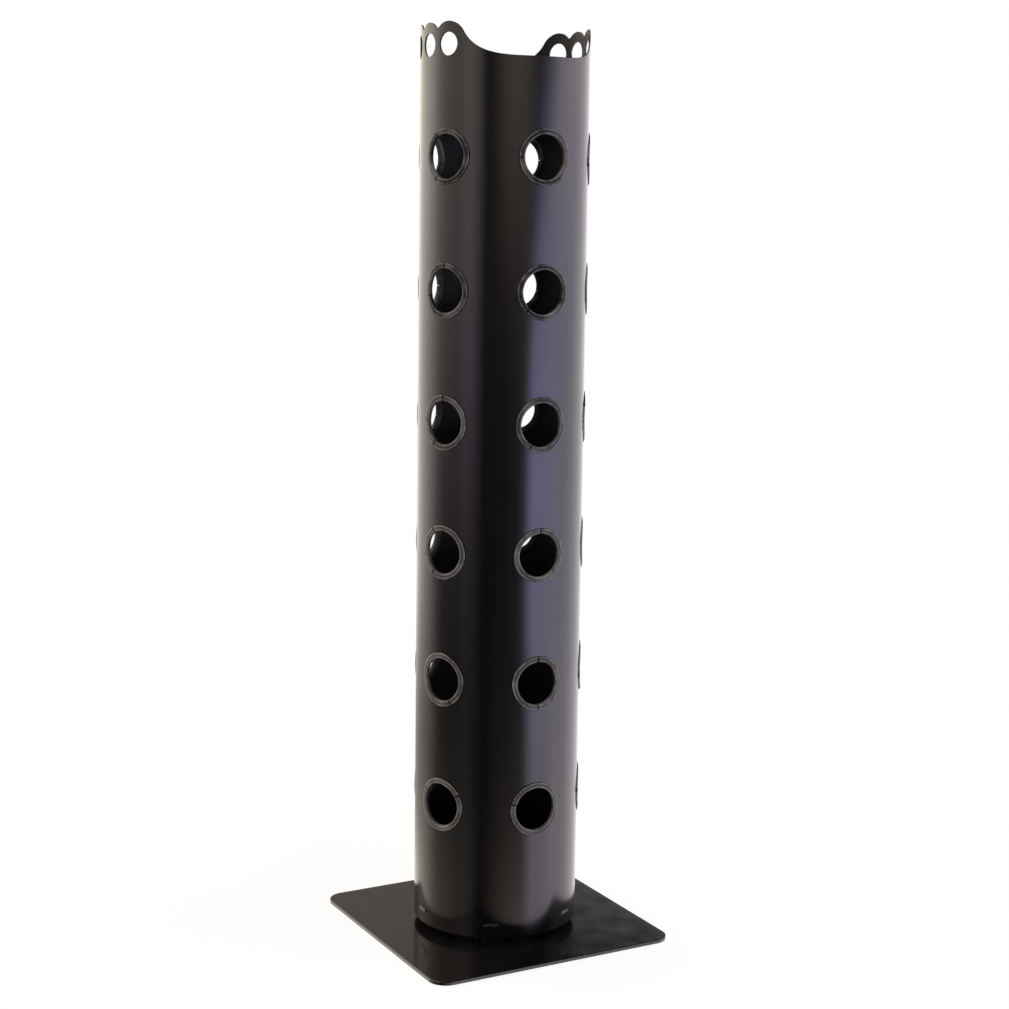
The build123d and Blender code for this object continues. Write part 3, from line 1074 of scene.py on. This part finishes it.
class PLANTER_OT_fixings(bpy.types.Operator):
    """Plate the screws, spacers, washers and nuts"""

    bl_idname = "planter.fixings"
    bl_label = "Fixings"

    def execute(self, context):
        for node in FIXING_NODES:
            refinish(node, made_once(zinc_steel, "plated_zinc"))
        return {"FINISHED"}


def studio_ways(tree, stage):
    """Measures of a direction in the studio, as the names of the soft changes call them."""
    heading = add_node(tree, "ShaderNodeTexCoord").outputs["Generated"]
    near_side = wall_point(stage.camera_turn, 1.0, 0.0)
    right_side = wall_point(stage.camera_turn + pi / 2, 1.0, 0.0)
    near = vector_maths(tree, "DOT_PRODUCT", heading, near_side)
    aside = vector_maths(tree, "DOT_PRODUCT", heading, right_side)
    height = upward_part(tree, heading)
    tilt_reach = maths(tree, "MINIMUM", aside, STUDIO_TILT_REACH)
    return {
        "height": height,
        "near": near,
        "aside": aside,
        "around": maths(tree, "ARCTAN2", aside, near),
        "tilted": maths(tree, "MULTIPLY_ADD", tilt_reach, -STUDIO_TILT, height),
    }


def studio_fade(tree, ways, name):
    """One of the soft changes of the studio's light."""
    return soft_step(tree, ways[name.rpartition("_")[2]], *STUDIO_FADES[name])


def studio_colour(tree, fade, around):
    """Colour of the surroundings, a warm grey high up and low down, and its top brightness."""
    brightest = max(max(colour) for _, colour in SURROUNDINGS)
    lean = maths(tree, "ADD", fade("lean_high_height"), fade("lean_low_height"))
    turn = maths(tree, "MULTIPLY_ADD", lean, fade("lean_aside"), around)
    ramp = add_node(
        tree, "ShaderNodeValToRGB", {"Fac": even_step(tree, turn, start=-pi, end=pi)})
    stops = ramp.color_ramp.elements
    while len(stops) < len(SURROUNDINGS):
        stops.new(0.5)
    for stop, (angle, colour) in zip(stops, SURROUNDINGS):
        stop.position = angle / 360.0 + 0.5
        stop.color = opaque([channel / brightest for channel in colour])
    tinted = ramp.outputs["Color"]
    grey = add_node(tree, "ShaderNodeRGBToBW", {"Color": tinted}).outputs["Val"]
    warmth = mix_colours(
        tree, fade("warmth_aside"), opaque(LEFT_WARMTH), opaque(RIGHT_WARMTH))
    light_toned = mix_colours(tree, fade("warmth_height"), grey, warmth, blend="MULTIPLY")
    tint = product(tree, fade("tint_low_height"), fade("tint_high_height"))
    coloured = mix_colours(tree, tint, light_toned, tinted)
    warm_top = product(tree, fade("warm_top_height"), fade("warm_top_aside"))
    return mix_colours(tree, warm_top, coloured, opaque(TOP_WARMTH), blend="MULTIPLY"), brightest


def studio_level(tree, fade):
    """Share of the surroundings' light: on the left it grows upwards, and overhead it fades."""
    lower_left = maths(
        tree, "MULTIPLY_ADD", fade("far_low_height"), fade("far_side_near"),
        fade("close_side_near"))
    beside = mix_values(tree, fade("upper_left_height"), lower_left, fade("upper_left_near"))
    left = product(tree, fade("left_aside"), beside)
    by_foot = product(tree, fade("by_foot_height"), fade("by_foot_around"))
    sill = product(tree, fade("sill_height"), fade("sill_around"))
    right = maths(tree, "MULTIPLY_ADD", fade("sill_aside"), sill, 1.0)
    growth = maths(tree, "ADD", fade("growth_height"), by_foot)
    upright = maths(tree, "MULTIPLY_ADD", left, growth, right)
    left_top = maths(
        tree, "MULTIPLY_ADD", fade("left_top_near"), fade("left_top_height"), 1.0)
    right_top = product(tree, fade("right_top_height"), fade("right_top_tilted"))
    top = mix_values(tree, fade("top_halves_aside"), left_top, right_top)
    return product(tree, upright, top)


def room_glow(tree, fade):
    """Strength of the dim room behind the camera: warm shelves, and a pale floor below them."""
    shelves = product(
        tree, fade("shelf_left_around"), fade("shelf_right_around"),
        product(tree, fade("shelf_low_height"), fade("shelf_high_height")))
    floor = product(
        tree, fade("floor_left_around"), fade("floor_right_around"), fade("floor_height"))
    return maths(tree, "ADD", shelves, floor)


def studio_world(stage):
    """Studio that the object mirrors, and plain white to the camera."""
    world = bpy.data.worlds.new("studio")
    world.use_nodes = True
    tree = world.node_tree
    tree.nodes.clear()
    ways = studio_ways(tree, stage)
    fade = partial(studio_fade, tree, ways)
    colour, brightest = studio_colour(tree, fade, ways["around"])
    strength = product(tree, studio_level(tree, fade), brightest * stage.surround_level)
    walls = add_node(tree, "ShaderNodeBackground", {"Color": colour, "Strength": strength})
    glow = product(tree, room_glow(tree, fade), stage.surround_level)
    room = add_node(
        tree, "ShaderNodeBackground", {"Color": opaque(ROOM_LIGHT), "Strength": glow})
    studio = add_node(tree, "ShaderNodeAddShader", {
        0: walls.outputs["Background"], 1: room.outputs["Background"]})
    white = add_node(tree, "ShaderNodeBackground", {"Color": opaque(WHITE), "Strength": 1.0})
    # The camera sees white, also through the holes. Mirrored light comes from the studio,
    # whose back and sides are white paper.
    path = add_node(tree, "ShaderNodeLightPath").outputs
    seen = maths(tree, "MAXIMUM", path["Is Camera Ray"], path["Is Transmission Ray"])
    mixed = add_node(tree, "ShaderNodeMixShader", {
        0: seen, 1: studio.outputs["Shader"], 2: white.outputs["Background"]})
    add_node(tree, "ShaderNodeOutputWorld", {"Surface": mixed.outputs["Shader"]})
    bpy.context.scene.world = world


def pale_floor(stage):
    """Pale floor that keeps the shadow near the base and turns white with distance."""
    mesh = bpy.data.meshes.new("pale_floor")
    shape = bmesh.new()
    bmesh.ops.create_circle(shape, cap_ends=True, segments=128, radius=4.0)
    shape.to_mesh(mesh)
    shape.free()
    floor = bpy.data.objects.new("pale_floor", mesh)
    bpy.context.scene.collection.objects.link(floor)
    floor.location.z = -0.0005
    floor.visible_glossy = False
    material, tree, shader = new_material("pale_floor")
    shader.inputs["Base Color"].default_value = opaque(stage.floor)
    shader.inputs["Roughness"].default_value = 0.9
    shader.inputs["Specular IOR Level"].default_value = 0.0
    distance = vector_maths(tree, "LENGTH", surface_place(tree))
    away = soft_step(tree, distance, start=0.22, end=0.9, low=0.8, high=1.0)
    path = add_node(tree, "ShaderNodeLightPath").outputs
    share = maths(tree, "MULTIPLY", path["Is Camera Ray"], away)
    white = add_node(tree, "ShaderNodeEmission", {"Color": opaque(WHITE), "Strength": 1.0})
    mixed = add_node(tree, "ShaderNodeMixShader", {
        0: share, 1: shader.outputs["BSDF"], 2: white.outputs["Emission"]})
    output = next(node for node in tree.nodes if node.type == "OUTPUT_MATERIAL")
    tree.links.new(mixed.outputs["Shader"], output.inputs["Surface"])
    mesh.materials.append(material)


def overhead_lamp(stage):
    """Soft square lamp over the object, which the paint doesn't mirror."""
    data = bpy.data.lights.new("overhead_lamp", "AREA")
    data.shape = "RECTANGLE"
    data.size = data.size_y = 1.8
    data.energy = stage.overhead_power
    data.color = (1.0, 0.99, 0.97)
    lamp = bpy.data.objects.new("overhead_lamp", data)
    lamp.location = place = Vector((0.3, -0.4, 2.6))
    target = Vector((0.0, 0.0, 0.4))
    lamp.rotation_euler = (target - place).to_track_quat("-Z", "Y").to_euler()
    lamp.visible_glossy = False
    bpy.context.scene.collection.objects.link(lamp)


def studio_camera(stage):
    """Camera at the photograph's angle."""
    data = bpy.data.cameras.new("camera")
    data.sensor_width = 36.0
    data.lens = stage.camera_lens
    data.shift_y = stage.camera_shift
    data.clip_end = 50.0
    yaw = stage.camera_turn + stage.camera_yaw
    right = Vector((cos(yaw), sin(yaw), 0.0))
    ahead = Vector((-sin(yaw), cos(yaw), 0.0))
    view = ahead * cos(stage.camera_pitch) - Vector((0.0, 0.0, sin(stage.camera_pitch)))
    above = right.cross(view)
    rolled_right = right * cos(stage.camera_roll) + above * sin(stage.camera_roll)
    rolled_up = above * cos(stage.camera_roll) - right * sin(stage.camera_roll)
    camera = bpy.data.objects.new("camera", data)
    place = wall_point(stage.camera_turn, stage.camera_distance, stage.camera_height)
    axes = Matrix((rolled_right, rolled_up, -view)).transposed()
    camera.matrix_world = Matrix.Translation(place) @ axes.to_4x4()
    bpy.context.scene.collection.objects.link(camera)
    bpy.context.scene.camera = camera


class PLANTER_OT_stage(bpy.types.Operator):
    """Set the surroundings, the floor, the lamp and the camera"""

    bl_idname = "planter.stage"
    bl_label = "Stage"

    def execute(self, context):
        stage = context.scene.planter_stage
        studio_world(stage)
        pale_floor(stage)
        overhead_lamp(stage)
        studio_camera(stage)
        context.scene.view_settings.view_transform = "Standard"
        return {"FINISHED"}


class PLANTER_PT_pieces(bpy.types.Panel):
    """Lists the planter's pieces in the sidebar"""

    bl_idname = "PLANTER_PT_pieces"
    bl_label = "Vertical Planter"
    bl_space_type = "VIEW_3D"
    bl_region_type = "UI"
    bl_category = "Planter"

    def draw(self, context):
        for operator in OPERATORS:
            self.layout.operator(operator.bl_idname)
        for name in GROUPS:
            group = getattr(context.scene, name)
            box = self.layout.box()
            for setting in group.bl_rna.properties:
                if setting.identifier not in {"rna_type", "name"}:
                    box.prop(group, setting.identifier)


GROUPS = {
    "planter_tower": PlanterTower,
    "planter_trim": PlanterTrim,
    "planter_finish": PlanterFinish,
    "planter_stage": PlanterStage,
}
OPERATORS = (
    PLANTER_OT_tower_tube,
    PLANTER_OT_seam_weld,
    PLANTER_OT_hole_trims,
    PLANTER_OT_base,
    PLANTER_OT_fixings,
    PLANTER_OT_stage,
)
CLASSES = (*GROUPS.values(), *OPERATORS, PLANTER_PT_pieces)


def register():
    for cls in CLASSES:
        bpy.utils.register_class(cls)
    for name, group in GROUPS.items():
        setattr(bpy.types.Scene, name, PointerProperty(type=group))


def unregister():
    for name in GROUPS:
        delattr(bpy.types.Scene, name)
    for cls in reversed(CLASSES):
        bpy.utils.unregister_class(cls)


def main():
    register()
    bpy.ops.planter.tower_tube()
    bpy.ops.planter.seam_weld()
    bpy.ops.planter.hole_trims()
    bpy.ops.planter.base()
    bpy.ops.planter.fixings()
    bpy.ops.planter.stage()


if __name__ == "__main__":
    main()
